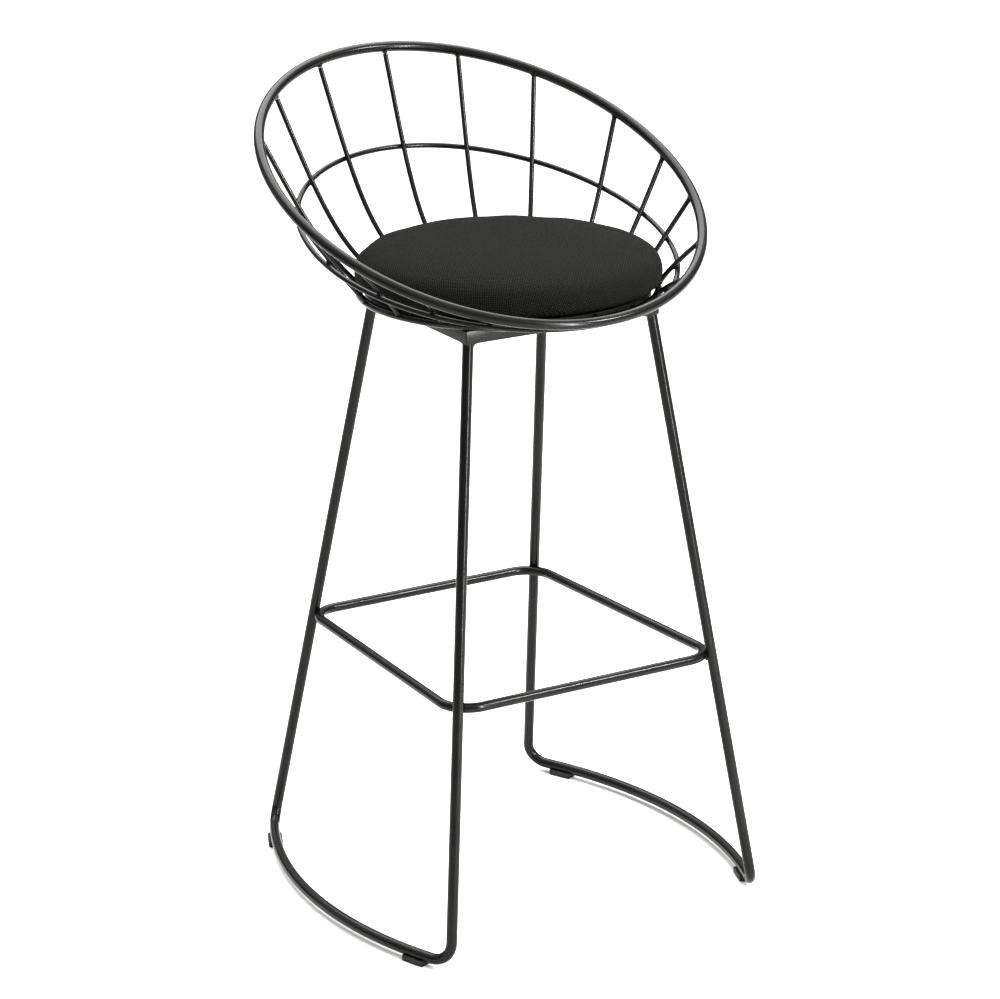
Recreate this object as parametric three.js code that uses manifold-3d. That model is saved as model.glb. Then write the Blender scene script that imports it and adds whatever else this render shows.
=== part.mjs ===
// Wire-basket bar stool with a footrest ring, in millimetres, +Z up, front facing -Y.
// Two bent side sleds carry a square seat frame; a basket of ribs and rings stands on it round a round cushion.
import * as THREE from "three";
import { mergeVertices } from "three/addons/utils/BufferGeometryUtils.js";
import Module from "manifold-3d";

// ---- Driving dimensions ----
const GAP = 0.3; // clearance left where two welded or resting pieces meet
const BISECTIONS = 30;
const CONTACT_PASSES = 4; // rounds that settle where a rib lies on the belt

const LEG_DIAMETER = 12;
const LEG_SIDES = 12;
const RUNNER_HEIGHT = 12; // of the runners' centre line
const FRONT_FOOT = { x: 195.4, y: -200.3 };
const REAR_FOOT = { x: 174.4, y: 252 };
const FRONT_LEG_TOP = { x: 114.2, y: -108 };
const REAR_LEG_TOP = { x: 109.2, y: 106.5 };
const RUNNER_BOW = 55; // how far the middle of each runner stands out from the line between its feet
const RUNNER_STEPS = 16;
const FOOT_BEND_REACH = 23; // length of leg and of runner taken up by each foot bend
const BEND_STEPS = 6;

// Each glide is a channel that cups the underside of the runner; play is the clearance that its bow takes up.
const GLIDE = { along: 28, across: 16, bottom: 1.5, lip: 8.5, play: 0.3, steps: 8 };
const GLIDE_PLACES = { front: 0.097, rear: 0.902 }; // share of the runner from the front foot to the rear one

const FRAME_BOTTOM = 666;
const FRAME_TOP = 681;
const FRAME_FRONT = { x: 120.2, y: -114.5 };
const FRAME_REAR = { x: 117, y: 113 };
const FRAME_BAR_WIDTH = 12;

const FOOTREST_DIAMETER = 11;
const FOOTREST_HEIGHT = 282;
const FOOTREST_FRONT = { x: 166.4, y: -163.6 };
const FOOTREST_REAR = { x: 150.2, y: 194.8 };
const FOOTREST_CORNER_RADIUS = 33; // tight enough to bite into the legs, so the rod is notched round them

const BASKET_CENTRE_Y = 0.6;
const SEAT_RING = { radius: 162.5, rod: 8.5, sides: 10, steps: 48 };
const SEAT_RING_HEIGHT = FRAME_TOP + GAP + SEAT_RING.rod / 2;
// A hoop is a tilted oval; sag drops its sides below the plane through its front and back.
const RIM = {
  halfWidth: 238.8,
  halfDepth: 244.6,
  centreY: 56.8,
  height: 796.8,
  rise: 105.3,
  sag: 0,
  rod: 11.5,
  sides: 12,
  steps: 64,
};
const BELT = {
  halfWidth: 203.5,
  halfDepth: 216,
  centreY: 44.5,
  height: 736,
  rise: 55.65,
  sag: 2.6,
  rod: 6,
  sides: 8,
  steps: 56,
};
const RIB = { diameter: 5.5, sides: 8, steps: 10 };
const RIB_AXIS_Y = -22; // the ribs stand in upright planes that all pass through x = 0 here
// Handles of the bowl's profile, as radius and height, from the seat ring up to the back of the rim.
const BOWL_HANDLES = [
  [217.3, 724.1],
  [232.9, 756.7],
  [298.4, 902.1],
];
// Degrees from the back of the basket, positive to the right; the ribs are not evenly spaced.
const RIB_BEARINGS = {
  back: [3],
  right: [19.7, 37, 58.5, 76.5, 94, 115.3, 136, 156.5],
  left: [-14.6, -32.5, -50.5, -79, -102.5, -122.5, -142.5, -162.5],
  front: [177],
};

const BOARD = { radius: 155, thickness: 11.5 };
const CUSHION = { radius: 166.6, sideBottom: 699, sideTop: 714, crown: 742.5, foot: 161.5 };

// ---- Materials ----
const powderCoat = (color) => new THREE.MeshStandardMaterial({ color, roughness: 0.42, metalness: 0.1 });
const MATERIALS = {
  tube: powderCoat(0x1c1c1b),
  frame: powderCoat(0x242423),
  wire: powderCoat(0x20201f),
  plastic: new THREE.MeshStandardMaterial({ color: 0x141414, roughness: 0.6, metalness: 0 }),
  plywood: new THREE.MeshStandardMaterial({ color: 0x1a1918, roughness: 0.75, metalness: 0 }),
  fabric: new THREE.MeshStandardMaterial({ color: 0x232322, roughness: 0.9, metalness: 0 }),
};

const manifold = await Module();
manifold.setup();

const stool = new THREE.Group();
const assembly = new THREE.Group();

function addMesh(name, geometry, material) {
  const mesh = new THREE.Mesh(geometry, material);
  mesh.name = name;
  assembly.add(mesh);
  return mesh;
}

// ---- Rods ----

// A path that an extrusion follows station by station, so that straight stretches stay one step long.
class StationPath extends THREE.Curve {
  constructor(stations, closed = false) {
    super();
    this.stations = stations;
    this.closed = closed;
  }

  station(share) {
    return Math.round(share * (this.stations.length - 1));
  }

  getPoint(share, target = new THREE.Vector3()) {
    return target.copy(this.stations[this.station(share)]);
  }

  getTangent(share, target = new THREE.Vector3()) {
    const last = this.stations.length - 1;
    const here = this.station(share);
    const atSeam = this.closed && (here === 0 || here === last);
    const before = atSeam ? this.stations[last - 1] : this.stations[Math.max(here - 1, 0)];
    const after = atSeam ? this.stations[1] : this.stations[Math.min(here + 1, last)];
    const middle = this.stations[here];
    const incoming = middle.clone().sub(before).normalize();
    const outgoing = after.clone().sub(middle).normalize();
    return target.addVectors(incoming, outgoing).normalize();
  }

  getPointAt(share, target) {
    return this.getPoint(share, target);
  }

  getTangentAt(share, target) {
    return this.getTangent(share, target);
  }

  getSpacedPoints() {
    return this.stations.map((point) => point.clone());
  }
}

function circleSection(diameter, sides) {
  const corners = Array.from({ length: sides }, (_, i) => {
    const angle = (2 * Math.PI * i) / sides;
    return new THREE.Vector2(Math.cos(angle), Math.sin(angle)).multiplyScalar(diameter / 2);
  });
  return new THREE.Shape(corners);
}

function rodGeometry(path, steps, diameter, sides) {
  return new THREE.ExtrudeGeometry(circleSection(diameter, sides), { steps, bevelEnabled: false, extrudePath: path });
}

// A rod whose two ends meet is a closed tube.
function ringGeometry(path, steps, diameter, sides) {
  return new THREE.TubeGeometry(path, steps, diameter / 2, sides, true);
}

function solidOf(geometry) {
  const bare = new THREE.BufferGeometry().setAttribute("position", geometry.getAttribute("position"));
  const merged = mergeVertices(bare.setIndex(geometry.index), 1e-3);
  const triVerts = new Uint32Array(merged.index.array);
  return new manifold.Manifold(new manifold.Mesh({ numProp: 3, vertProperties: merged.attributes.position.array, triVerts }));
}

function cutBy(geometry, tools) {
  const { vertProperties, triVerts } = tools.reduce((rest, tool) => rest.subtract(solidOf(tool)), solidOf(geometry)).getMesh();
  const cut = new THREE.BufferGeometry().setAttribute("position", new THREE.BufferAttribute(vertProperties, 3));
  return cut.setIndex(new THREE.BufferAttribute(triVerts, 1));
}

// Stations of a bend that leaves `start` along `into` and arrives at `end` along `out`.
function bendStations(start, into, end, out) {
  const turn = into.angleTo(out);
  const handle = (4 / 3) * Math.tan(turn / 4) / Math.tan(turn / 2) * start.distanceTo(end) / (2 * Math.cos(turn / 2));
  const bend = new THREE.CubicBezierCurve3(
    start,
    start.clone().addScaledVector(into, handle),
    end.clone().addScaledVector(out, -handle),
    end,
  );
  return bend.getPoints(BEND_STEPS);
}

// ---- Side sleds: rear leg, runner and front leg in one bent rod ----

function footPoint(foot, side) {
  return new THREE.Vector3(side * foot.x, foot.y, RUNNER_HEIGHT);
}

function legTopPoint(top, side) {
  return new THREE.Vector3(side * top.x, top.y, FRAME_BOTTOM);
}

// The runner's bowed centre line, a circular arc through both feet, from the front foot (0) to the rear one (1).
function runnerPoint(side, share) {
  const front = footPoint(FRONT_FOOT, side);
  const rear = footPoint(REAR_FOOT, side);
  const chord = rear.y - front.y;
  const radius = (chord * chord / 4 + RUNNER_BOW * RUNNER_BOW) / (2 * RUNNER_BOW);
  const along = (share - 0.5) * chord;
  const bow = Math.sqrt(radius * radius - along * along) - (radius - RUNNER_BOW);
  const point = front.lerp(rear, share);
  point.x += side * bow;
  return point;
}

function runnerDirection(side, share) {
  const step = 0.001;
  return runnerPoint(side, share + step).sub(runnerPoint(side, share - step)).normalize();
}

function sledPath(side) {
  const frontFoot = footPoint(FRONT_FOOT, side);
  const rearFoot = footPoint(REAR_FOOT, side);
  const frontTop = legTopPoint(FRONT_LEG_TOP, side);
  const rearTop = legTopPoint(REAR_LEG_TOP, side);
  const downFront = frontFoot.clone().sub(frontTop).normalize();
  const upRear = rearTop.clone().sub(rearFoot).normalize();
  const slack = FOOT_BEND_REACH / (REAR_FOOT.y - FRONT_FOOT.y);
  const firstShare = slack;
  const lastShare = 1 - slack;
  const tilt = Math.acos(upRear.z);
  const topTrim = GAP + (LEG_DIAMETER / 2) * Math.sin(tilt);
  const runner = Array.from({ length: RUNNER_STEPS + 1 }, (_, i) =>
    runnerPoint(side, firstShare + ((lastShare - firstShare) * i) / RUNNER_STEPS),
  );
  const frontBend = bendStations(
    frontFoot.clone().addScaledVector(downFront, -FOOT_BEND_REACH),
    downFront,
    runner[0],
    runnerDirection(side, firstShare),
  );
  const rearBend = bendStations(
    runner[RUNNER_STEPS],
    runnerDirection(side, lastShare),
    rearFoot.clone().addScaledVector(upRear, FOOT_BEND_REACH),
    upRear,
  );
  return [
    frontTop.clone().addScaledVector(downFront, topTrim / -downFront.z),
    ...frontBend.slice(0, -1),
    ...runner,
    ...rearBend.slice(1),
    rearTop.clone().addScaledVector(upRear, -topTrim / upRear.z),
  ];
}

function sledGeometry(side, diameter) {
  const stations = sledPath(side);
  return rodGeometry(new StationPath(stations), stations.length - 1, diameter, LEG_SIDES);
}

function addSled(name, side) {
  addMesh(name, sledGeometry(side, LEG_DIAMETER), MATERIALS.tube);
}

// The glide's section: a block with a round channel in its top, drawn about the runner's centre line.
function glideSection() {
  const half = GLIDE.across / 2;
  const channel = LEG_DIAMETER / 2 + GAP + GLIDE.play;
  const lip = GLIDE.lip - RUNNER_HEIGHT;
  const bottom = GLIDE.bottom - RUNNER_HEIGHT;
  const sweep = Math.acos(-lip / channel);
  const corners = [
    new THREE.Vector2(-half, lip),
    new THREE.Vector2(-half, bottom),
    new THREE.Vector2(half, bottom),
    new THREE.Vector2(half, lip),
  ];
  for (let i = 0; i <= GLIDE.steps; i++) {
    const angle = sweep - (2 * sweep * i) / GLIDE.steps;
    corners.push(new THREE.Vector2(channel * Math.sin(angle), -channel * Math.cos(angle)));
  }
  return new THREE.Shape(corners);
}

function addGlide(name, side, share) {
  const place = runnerPoint(side, share);
  const direction = runnerDirection(side, share);
  const block = new THREE.ExtrudeGeometry(glideSection(), { depth: GLIDE.along, bevelEnabled: false });
  block.translate(0, 0, -GLIDE.along / 2);
  block.rotateX(Math.PI / 2);
  const glide = addMesh(name, block, MATERIALS.plastic);
  glide.position.copy(place);
  glide.rotation.z = Math.atan2(direction.y, direction.x) - Math.PI / 2;
}

// ---- Seat frame: four square bars, mitred at the corners ----

function frameCorner(x, y, inset) {
  return new THREE.Vector2(x - Math.sign(x) * inset, y - Math.sign(y) * inset);
}

function addFrameBar(name, start, end) {
  const outline = [
    frameCorner(start.x, start.y, 0),
    frameCorner(end.x, end.y, 0),
    frameCorner(end.x, end.y, FRAME_BAR_WIDTH),
    frameCorner(start.x, start.y, FRAME_BAR_WIDTH),
  ];
  const along = outline[1].clone().sub(outline[0]).normalize();
  const trims = [GAP, -GAP, -GAP, GAP];
  outline.forEach((corner, i) => corner.addScaledVector(along, trims[i]));
  const shape = new THREE.Shape(outline);
  const bar = new THREE.ExtrudeGeometry(shape, { depth: FRAME_TOP - FRAME_BOTTOM, bevelEnabled: false });
  const mesh = addMesh(name, bar, MATERIALS.frame);
  mesh.position.z = FRAME_BOTTOM;
}

function addSeatFrame() {
  const frontLeft = { x: -FRAME_FRONT.x, y: FRAME_FRONT.y };
  const rearLeft = { x: -FRAME_REAR.x, y: FRAME_REAR.y };
  addFrameBar("seat_frame_front_bar", frontLeft, FRAME_FRONT);
  addFrameBar("seat_frame_right_bar", FRAME_FRONT, FRAME_REAR);
  addFrameBar("seat_frame_rear_bar", FRAME_REAR, rearLeft);
  addFrameBar("seat_frame_left_bar", rearLeft, frontLeft);
}

// ---- Footrest: one rod bent round inside the four legs ----

function footrestStations() {
  const corners = [
    new THREE.Vector3(FOOTREST_REAR.x, FOOTREST_REAR.y, FOOTREST_HEIGHT),
    new THREE.Vector3(FOOTREST_FRONT.x, FOOTREST_FRONT.y, FOOTREST_HEIGHT),
    new THREE.Vector3(-FOOTREST_FRONT.x, FOOTREST_FRONT.y, FOOTREST_HEIGHT),
    new THREE.Vector3(-FOOTREST_REAR.x, FOOTREST_REAR.y, FOOTREST_HEIGHT),
  ];
  const seam = new THREE.Vector3(0, FOOTREST_REAR.y, FOOTREST_HEIGHT);
  const stations = [seam];
  corners.forEach((corner, i) => {
    const before = i === 0 ? seam : corners[i - 1];
    const after = i === corners.length - 1 ? seam : corners[i + 1];
    const into = corner.clone().sub(before).normalize();
    const out = after.clone().sub(corner).normalize();
    const reach = FOOTREST_CORNER_RADIUS * Math.tan(into.angleTo(out) / 2);
    const start = corner.clone().addScaledVector(into, -reach);
    const end = corner.clone().addScaledVector(out, reach);
    stations.push(...bendStations(start, into, end, out));
  });
  stations.push(seam.clone());
  return stations;
}

function addFootrest() {
  const stations = footrestStations();
  const path = new StationPath(stations, true);
  const rod = ringGeometry(path, stations.length - 1, FOOTREST_DIAMETER, LEG_SIDES);
  const legRoom = [-1, 1].map((side) => sledGeometry(side, LEG_DIAMETER + 2 * GAP));
  addMesh("footrest_ring", cutBy(rod, legRoom), MATERIALS.tube);
}

// ---- Basket ----

// A point at `radius` from the basket's upright axis, on the bearing measured from the back.
function basketPoint(bearing, radius, height) {
  return new THREE.Vector3(radius * Math.sin(bearing), BASKET_CENTRE_Y + radius * Math.cos(bearing), height);
}

function seatRingPoint(bearing) {
  return basketPoint(bearing, SEAT_RING.radius, SEAT_RING_HEIGHT);
}

// A hoop's centre line on a bearing from the basket's axis.
function hoopPoint(hoop, bearing) {
  const across = (Math.sin(bearing) / hoop.halfWidth) ** 2 + (Math.cos(bearing) / hoop.halfDepth) ** 2;
  const setBack = hoop.centreY - BASKET_CENTRE_Y;
  const lean = (setBack * Math.cos(bearing)) / hoop.halfDepth ** 2;
  const rest = (setBack / hoop.halfDepth) ** 2 - 1;
  const radius = (lean + Math.sqrt(lean * lean - across * rest)) / across;
  const backwards = (radius * Math.cos(bearing) - setBack) / hoop.halfDepth;
  const sagging = hoop.sag * (2 * backwards * backwards - 1);
  return basketPoint(bearing, radius, hoop.height + hoop.rise * backwards + sagging);
}

function rimPoint(bearing) {
  return hoopPoint(RIM, bearing);
}

function beltPoint(bearing) {
  return hoopPoint(BELT, bearing);
}

function hoopDirection(pointAt, bearing) {
  const step = 0.001;
  return pointAt(bearing + step).sub(pointAt(bearing - step)).normalize();
}

function radiusOf(point) {
  return Math.hypot(point.x, point.y - BASKET_CENTRE_Y);
}

// The share of a curve up to which a test holds.
function shareWhile(test) {
  let low = 0;
  let high = 1;
  for (let round = 0; round < BISECTIONS; round++) {
    const middle = (low + high) / 2;
    if (test(middle)) low = middle;
    else high = middle;
  }
  return low;
}

// The bowl's profile cut off at a height: the four handles of the stretch below it.
function bowlBelow(height) {
  const [a, b, c, d] = [[SEAT_RING.radius, SEAT_RING_HEIGHT], ...BOWL_HANDLES].map((pair) => new THREE.Vector2(...pair));
  const profile = new THREE.CubicBezierCurve(a, b, c, d);
  const share = shareWhile((middle) => profile.getPoint(middle).y < height);
  const ab = a.clone().lerp(b, share);
  const bc = b.clone().lerp(c, share);
  const cd = c.clone().lerp(d, share);
  const abc = ab.clone().lerp(bc, share);
  const bcd = bc.clone().lerp(cd, share);
  return [a, ab, abc, abc.clone().lerp(bcd, share)];
}

function bearingOf(point) {
  return Math.atan2(point.x, point.y - BASKET_CENTRE_Y);
}

// The level direction in which the rib that ends here on the rim leans out of its foot.
function ribHeading(rim) {
  return new THREE.Vector2(rim.x, rim.y - RIB_AXIS_Y).normalize();
}

// A point of the ribs' upright plane with this heading, at `radius` from the basket's axis.
function ribPoint(heading, radius, height) {
  const ahead = RIB_AXIS_Y - BASKET_CENTRE_Y;
  const lean = heading.y * ahead;
  const reach = Math.sqrt(lean * lean - ahead * ahead + radius * radius) - lean;
  return new THREE.Vector3(reach * heading.x, RIB_AXIS_Y + reach * heading.y, height);
}

// Where a rib with this tangent lies against the belt's inner side.
function beltContact(bearing, heading, tangent) {
  const sideways = new THREE.Vector3(heading.y, -heading.x, 0);
  const inward = new THREE.Vector3().crossVectors(sideways, tangent).normalize();
  const apart = new THREE.Vector3().crossVectors(hoopDirection(beltPoint, bearing), tangent).normalize();
  const offset = ((RIB.diameter + BELT.rod) / 2 + GAP) / Math.abs(apart.dot(inward));
  return beltPoint(bearing).addScaledVector(inward, offset);
}

// A rib's centre line in its own upright plane: the bowl's profile, drawn in or out to meet the rim and the belt.
function ribCurve(bearing) {
  const rim = rimPoint(bearing);
  const heading = ribHeading(rim);
  const handles = bowlBelow(rim.z);
  const widening = (radiusOf(rim) - SEAT_RING.radius) / (handles[3].x - SEAT_RING.radius);
  handles.forEach((handle) => {
    handle.x = SEAT_RING.radius + (handle.x - SEAT_RING.radius) * widening;
  });
  const asCurve = () => new THREE.CubicBezierCurve3(...handles.map(({ x, y }) => ribPoint(heading, x, y)));
  let curve = asCurve();
  let share = 0.5;
  for (let pass = 0; pass < CONTACT_PASSES; pass++) {
    const contact = beltContact(bearingOf(curve.getPoint(share)), heading, curve.getTangent(share));
    share = shareWhile((middle) => curve.getPoint(middle).z < contact.z);
    const pull = (radiusOf(contact) - radiusOf(curve.getPoint(share))) / (3 * share * (1 - share));
    handles[1].x += pull;
    handles[2].x += pull;
    curve = asCurve();
  }
  return curve;
}

// How far a rib stops short of a hoop's centre line, so that its flat end clears the hoop where they meet at a slant.
function trimAgainst(hoopPointAt, hoopDiameter, bearing, ribDirection) {
  const cosine = Math.abs(hoopDirection(hoopPointAt, bearing).dot(ribDirection));
  const sine = Math.sqrt(1 - cosine * cosine);
  return (hoopDiameter / 2 + GAP + (RIB.diameter / 2) * cosine) / sine;
}

// The stretch of a rib between the surfaces of the seat ring and the rim.
function trimmedRib(bearing) {
  const curve = ribCurve(bearing);
  const length = curve.getLength();
  const footBearing = bearingOf(curve.getPoint(0));
  const first = trimAgainst(seatRingPoint, SEAT_RING.rod, footBearing, curve.getTangentAt(0)) / length;
  const last = 1 - trimAgainst(rimPoint, RIM.rod, bearing, curve.getTangentAt(1)) / length;
  const stations = Array.from({ length: RIB.steps + 1 }, (_, i) =>
    curve.getPointAt(first + ((last - first) * i) / RIB.steps),
  );
  return new StationPath(stations);
}

function bearings(count) {
  return Array.from({ length: count }, (_, i) => (2 * Math.PI * i) / count);
}

function addHoop(name, pointAt, { steps, rod, sides }, material) {
  const path = new THREE.CatmullRomCurve3(bearings(steps).map(pointAt), true);
  addMesh(name, ringGeometry(path, steps, rod, sides), material);
}

function addRib(name, bearing) {
  addMesh(name, rodGeometry(trimmedRib(bearing), RIB.steps, RIB.diameter, RIB.sides), MATERIALS.wire);
}

function addRibs() {
  for (const [zone, degrees] of Object.entries(RIB_BEARINGS)) {
    degrees.forEach((bearing, i) => {
      const name = degrees.length > 1 ? `rib_${zone}_${i + 1}` : `rib_${zone}`;
      addRib(name, THREE.MathUtils.degToRad(bearing));
    });
  }
}

function addBasket() {
  addHoop("seat_ring", seatRingPoint, SEAT_RING, MATERIALS.wire);
  addHoop("basket_rim", rimPoint, RIM, MATERIALS.tube);
  addHoop("basket_belt", beltPoint, BELT, MATERIALS.wire);
  addRibs();
}

// ---- Seat ----

function turned(profile, segments = 48) {
  const geometry = new THREE.LatheGeometry(profile, segments);
  geometry.rotateX(Math.PI / 2);
  geometry.translate(0, BASKET_CENTRE_Y, 0);
  return geometry;
}

function addSeatBoard() {
  const bottom = FRAME_TOP + GAP;
  const profile = [
    new THREE.Vector2(0, bottom),
    new THREE.Vector2(BOARD.radius, bottom),
    new THREE.Vector2(BOARD.radius, bottom + BOARD.thickness),
    new THREE.Vector2(0, bottom + BOARD.thickness),
  ];
  addMesh("seat_board", turned(profile), MATERIALS.plywood);
}

function addCushion() {
  const bottom = FRAME_TOP + 2 * GAP + BOARD.thickness;
  const outline = new THREE.Path();
  outline.moveTo(0, bottom);
  outline.lineTo(CUSHION.foot, bottom);
  outline.quadraticCurveTo(CUSHION.radius, bottom, CUSHION.radius, CUSHION.sideBottom);
  outline.lineTo(CUSHION.radius, CUSHION.sideTop);
  outline.bezierCurveTo(CUSHION.radius, CUSHION.crown - 8, CUSHION.radius - 40, CUSHION.crown, 0, CUSHION.crown);
  addMesh("seat_cushion", turned(outline.getPoints(7)), MATERIALS.fabric);
}

addSled("side_sled_left", -1);
addSled("side_sled_right", 1);
for (const [end, share] of Object.entries(GLIDE_PLACES)) {
  addGlide("glide_" + end + "_left", -1, share);
  addGlide("glide_" + end + "_right", 1, share);
}
addSeatFrame();
addFootrest();
addBasket();
addSeatBoard();
addCushion();

// The part's origin lies on the floor under the middle of its bounding box.
const bounds = new THREE.Box3().setFromObject(assembly);
assembly.position.set(0, -(bounds.min.y + bounds.max.y) / 2, -bounds.min.z);
stool.name = "bar_stool";
stool.add(assembly);

export default stool;
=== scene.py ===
"""A wire-basket bar stool with a footrest ring: its visible pieces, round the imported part."""
import logging
import math
from dataclasses import dataclass, field
from enum import Enum
from functools import partial
from itertools import product
from typing import Callable, Sequence

import bmesh
import bpy
from mathutils import Matrix, Vector, noise


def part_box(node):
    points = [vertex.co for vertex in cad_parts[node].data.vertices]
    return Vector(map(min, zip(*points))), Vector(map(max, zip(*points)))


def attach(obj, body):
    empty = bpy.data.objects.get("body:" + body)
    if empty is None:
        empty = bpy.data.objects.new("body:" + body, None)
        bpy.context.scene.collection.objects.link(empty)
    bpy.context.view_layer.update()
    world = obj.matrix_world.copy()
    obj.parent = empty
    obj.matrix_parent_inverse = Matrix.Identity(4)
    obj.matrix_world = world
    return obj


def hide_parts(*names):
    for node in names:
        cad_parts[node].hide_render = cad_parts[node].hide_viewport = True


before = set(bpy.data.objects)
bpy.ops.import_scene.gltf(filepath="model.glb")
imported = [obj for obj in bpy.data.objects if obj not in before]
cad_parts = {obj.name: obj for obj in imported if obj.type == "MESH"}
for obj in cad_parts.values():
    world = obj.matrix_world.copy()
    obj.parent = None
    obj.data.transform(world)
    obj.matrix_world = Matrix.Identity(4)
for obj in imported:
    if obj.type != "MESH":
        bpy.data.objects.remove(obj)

MM = 0.001  # the scene is in metres
UP = Vector((0, 0, 1))
STRAIGHT_STEPS = 12
BODY = "root"
log = logging.getLogger("bar_stool")


class Slot(Enum):
    """The record's material slots."""

    COAT = "black_powder_coat"
    GLIDE = "glide_plastic"
    FABRIC = "seat_fabric"
    BOARD = "seat_board"


# ---------------------------------------------------------------- small tools


def linear(colour: str) -> tuple[float, float, float, float]:
    """Turns an sRGB hex colour into linear light.

    Args:
        colour: "#rrggbb".

    Returns:
        Linear red, green, blue and an alpha of 1.
    """
    channels = [int(colour[i : i + 2], 16) / 255 for i in (1, 3, 5)]
    toned = [c / 12.92 if c <= 0.04045 else ((c + 0.055) / 1.055) ** 2.4 for c in channels]
    return (*toned, 1.0)


def plug(node: bpy.types.Node, values: dict | None = None, links: dict | None = None) -> None:
    """Sets a node's constants and feeds its inputs from other nodes.

    Args:
        node: The node.
        values: Constants by input socket.
        links: Sources by input socket, each a socket, or a node for its first output.
    """
    for socket, value in (values or {}).items():
        node.inputs[socket].default_value = value
    for socket, source in (links or {}).items():
        output = getattr(source, "outputs", [source])[0]
        node.id_data.links.new(output, node.inputs[socket])


def add_node(
    tree: bpy.types.NodeTree,
    kind: str,
    values: dict | None = None,
    links: dict | None = None,
    **settings: object,
) -> bpy.types.Node:
    """Adds a shader node with its settings, constants and incoming links.

    Args:
        tree: The node tree that receives the node.
        kind: The node's type name.
        values: Constants by input socket.
        links: Sources by input socket.
        **settings: Properties of the node itself.

    Returns:
        The new node.
    """
    node = tree.nodes.new(kind)
    for name, setting in settings.items():
        setattr(node, name, setting)
    plug(node, values, links)
    return node


def new_material(
    name: str,
) -> tuple[bpy.types.Material, Callable[..., bpy.types.Node], bpy.types.Node]:
    """Makes an empty material with one Principled shader on its output.

    Args:
        name: The material's name.

    Returns:
        The material, add_node for its tree, and the Principled node.
    """
    material = bpy.data.materials.new(name)
    material.use_nodes = True
    material.node_tree.nodes.clear()
    add = partial(add_node, material.node_tree)
    shader = add("ShaderNodeBsdfPrincipled")
    add("ShaderNodeOutputMaterial", links={"Surface": shader})
    return material, add, shader


def make_object(
    name: str, mesh_data: bmesh.types.BMesh, crease_angle: float = 40.0
) -> bpy.types.Object:
    """Turns a bmesh into a smooth-shaded object that keeps its hard edges.

    Args:
        name: The object's name.
        mesh_data: The geometry; it is freed.
        crease_angle: Edges that turn by more than this many degrees stay sharp.

    Returns:
        The object, linked to the scene.
    """
    bmesh.ops.recalc_face_normals(mesh_data, faces=mesh_data.faces)
    mesh = bpy.data.meshes.new(name)
    mesh_data.to_mesh(mesh)
    mesh_data.free()
    mesh.polygons.foreach_set("use_smooth", [True] * len(mesh.polygons))
    mesh.set_sharp_from_angle(angle=math.radians(crease_angle))
    made = bpy.data.objects.new(name, mesh)
    bpy.context.scene.collection.objects.link(made)
    return made


def bridge(
    mesh: bmesh.types.BMesh, loops: Sequence[Sequence[bmesh.types.BMVert]], closed: bool = False
) -> None:
    """Skins a row of closed loops that have the same number of points.

    Args:
        mesh: The bmesh that holds the loops.
        loops: The loops, in order.
        closed: Whether the last loop also joins the first.
    """
    pairs = list(zip(loops, loops[1:]))
    if closed:
        pairs.append((loops[-1], loops[0]))
    for low, high in pairs:
        for i in range(len(low)):
            j = (i + 1) % len(low)
            mesh.faces.new((low[i], low[j], high[j], high[i]))


def dress(
    piece: bpy.types.Object,
    material: bpy.types.Material,
    slot: Slot,
    replaced: Sequence[str] = (),
) -> bpy.types.Object:
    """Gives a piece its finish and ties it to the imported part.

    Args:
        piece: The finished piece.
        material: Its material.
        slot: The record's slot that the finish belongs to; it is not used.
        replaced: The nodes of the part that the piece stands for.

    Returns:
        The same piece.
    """
    piece.data.materials.clear()
    piece.data.materials.append(material)
    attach(piece, BODY)
    if replaced:
        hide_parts(*replaced)
    nodes = list(replaced) or "no node"
    log.info("%s: %d faces, stands for %s", piece.name, len(piece.data.polygons), nodes)
    return piece


# ---------------------------------------------------------------- rods and welds


def path_frames(points: Sequence[Vector], closed: bool) -> list[tuple[Vector, Vector, Vector]]:
    """Finds untwisted cross-section axes along a path.

    Args:
        points: The path.
        closed: Whether its last point joins its first.

    Returns:
        Tangent, side and up directions at each point.
    """
    count = len(points)
    tangents = []
    for i in range(count):
        before = points[(i - 1) % count] if closed or i > 0 else points[0]
        after = points[(i + 1) % count] if closed or i < count - 1 else points[-1]
        tangents.append((after - before).normalized())
    side = tangents[0].orthogonal().normalized()
    sides = [side]
    for i in range(1, count):
        side = tangents[i - 1].rotation_difference(tangents[i]) @ side
        sides.append((side - tangents[i] * side.dot(tangents[i])).normalized())
    if closed:
        back = tangents[-1].rotation_difference(tangents[0]) @ sides[-1]
        twist = math.atan2(tangents[0].dot(back.cross(sides[0])), back.dot(sides[0]))
        turns = [Matrix.Rotation(twist * i / count, 3, t) for i, t in enumerate(tangents)]
        sides = [turn @ side for turn, side in zip(turns, sides)]
    return [(t, s, t.cross(s)) for t, s in zip(tangents, sides)]


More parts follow.
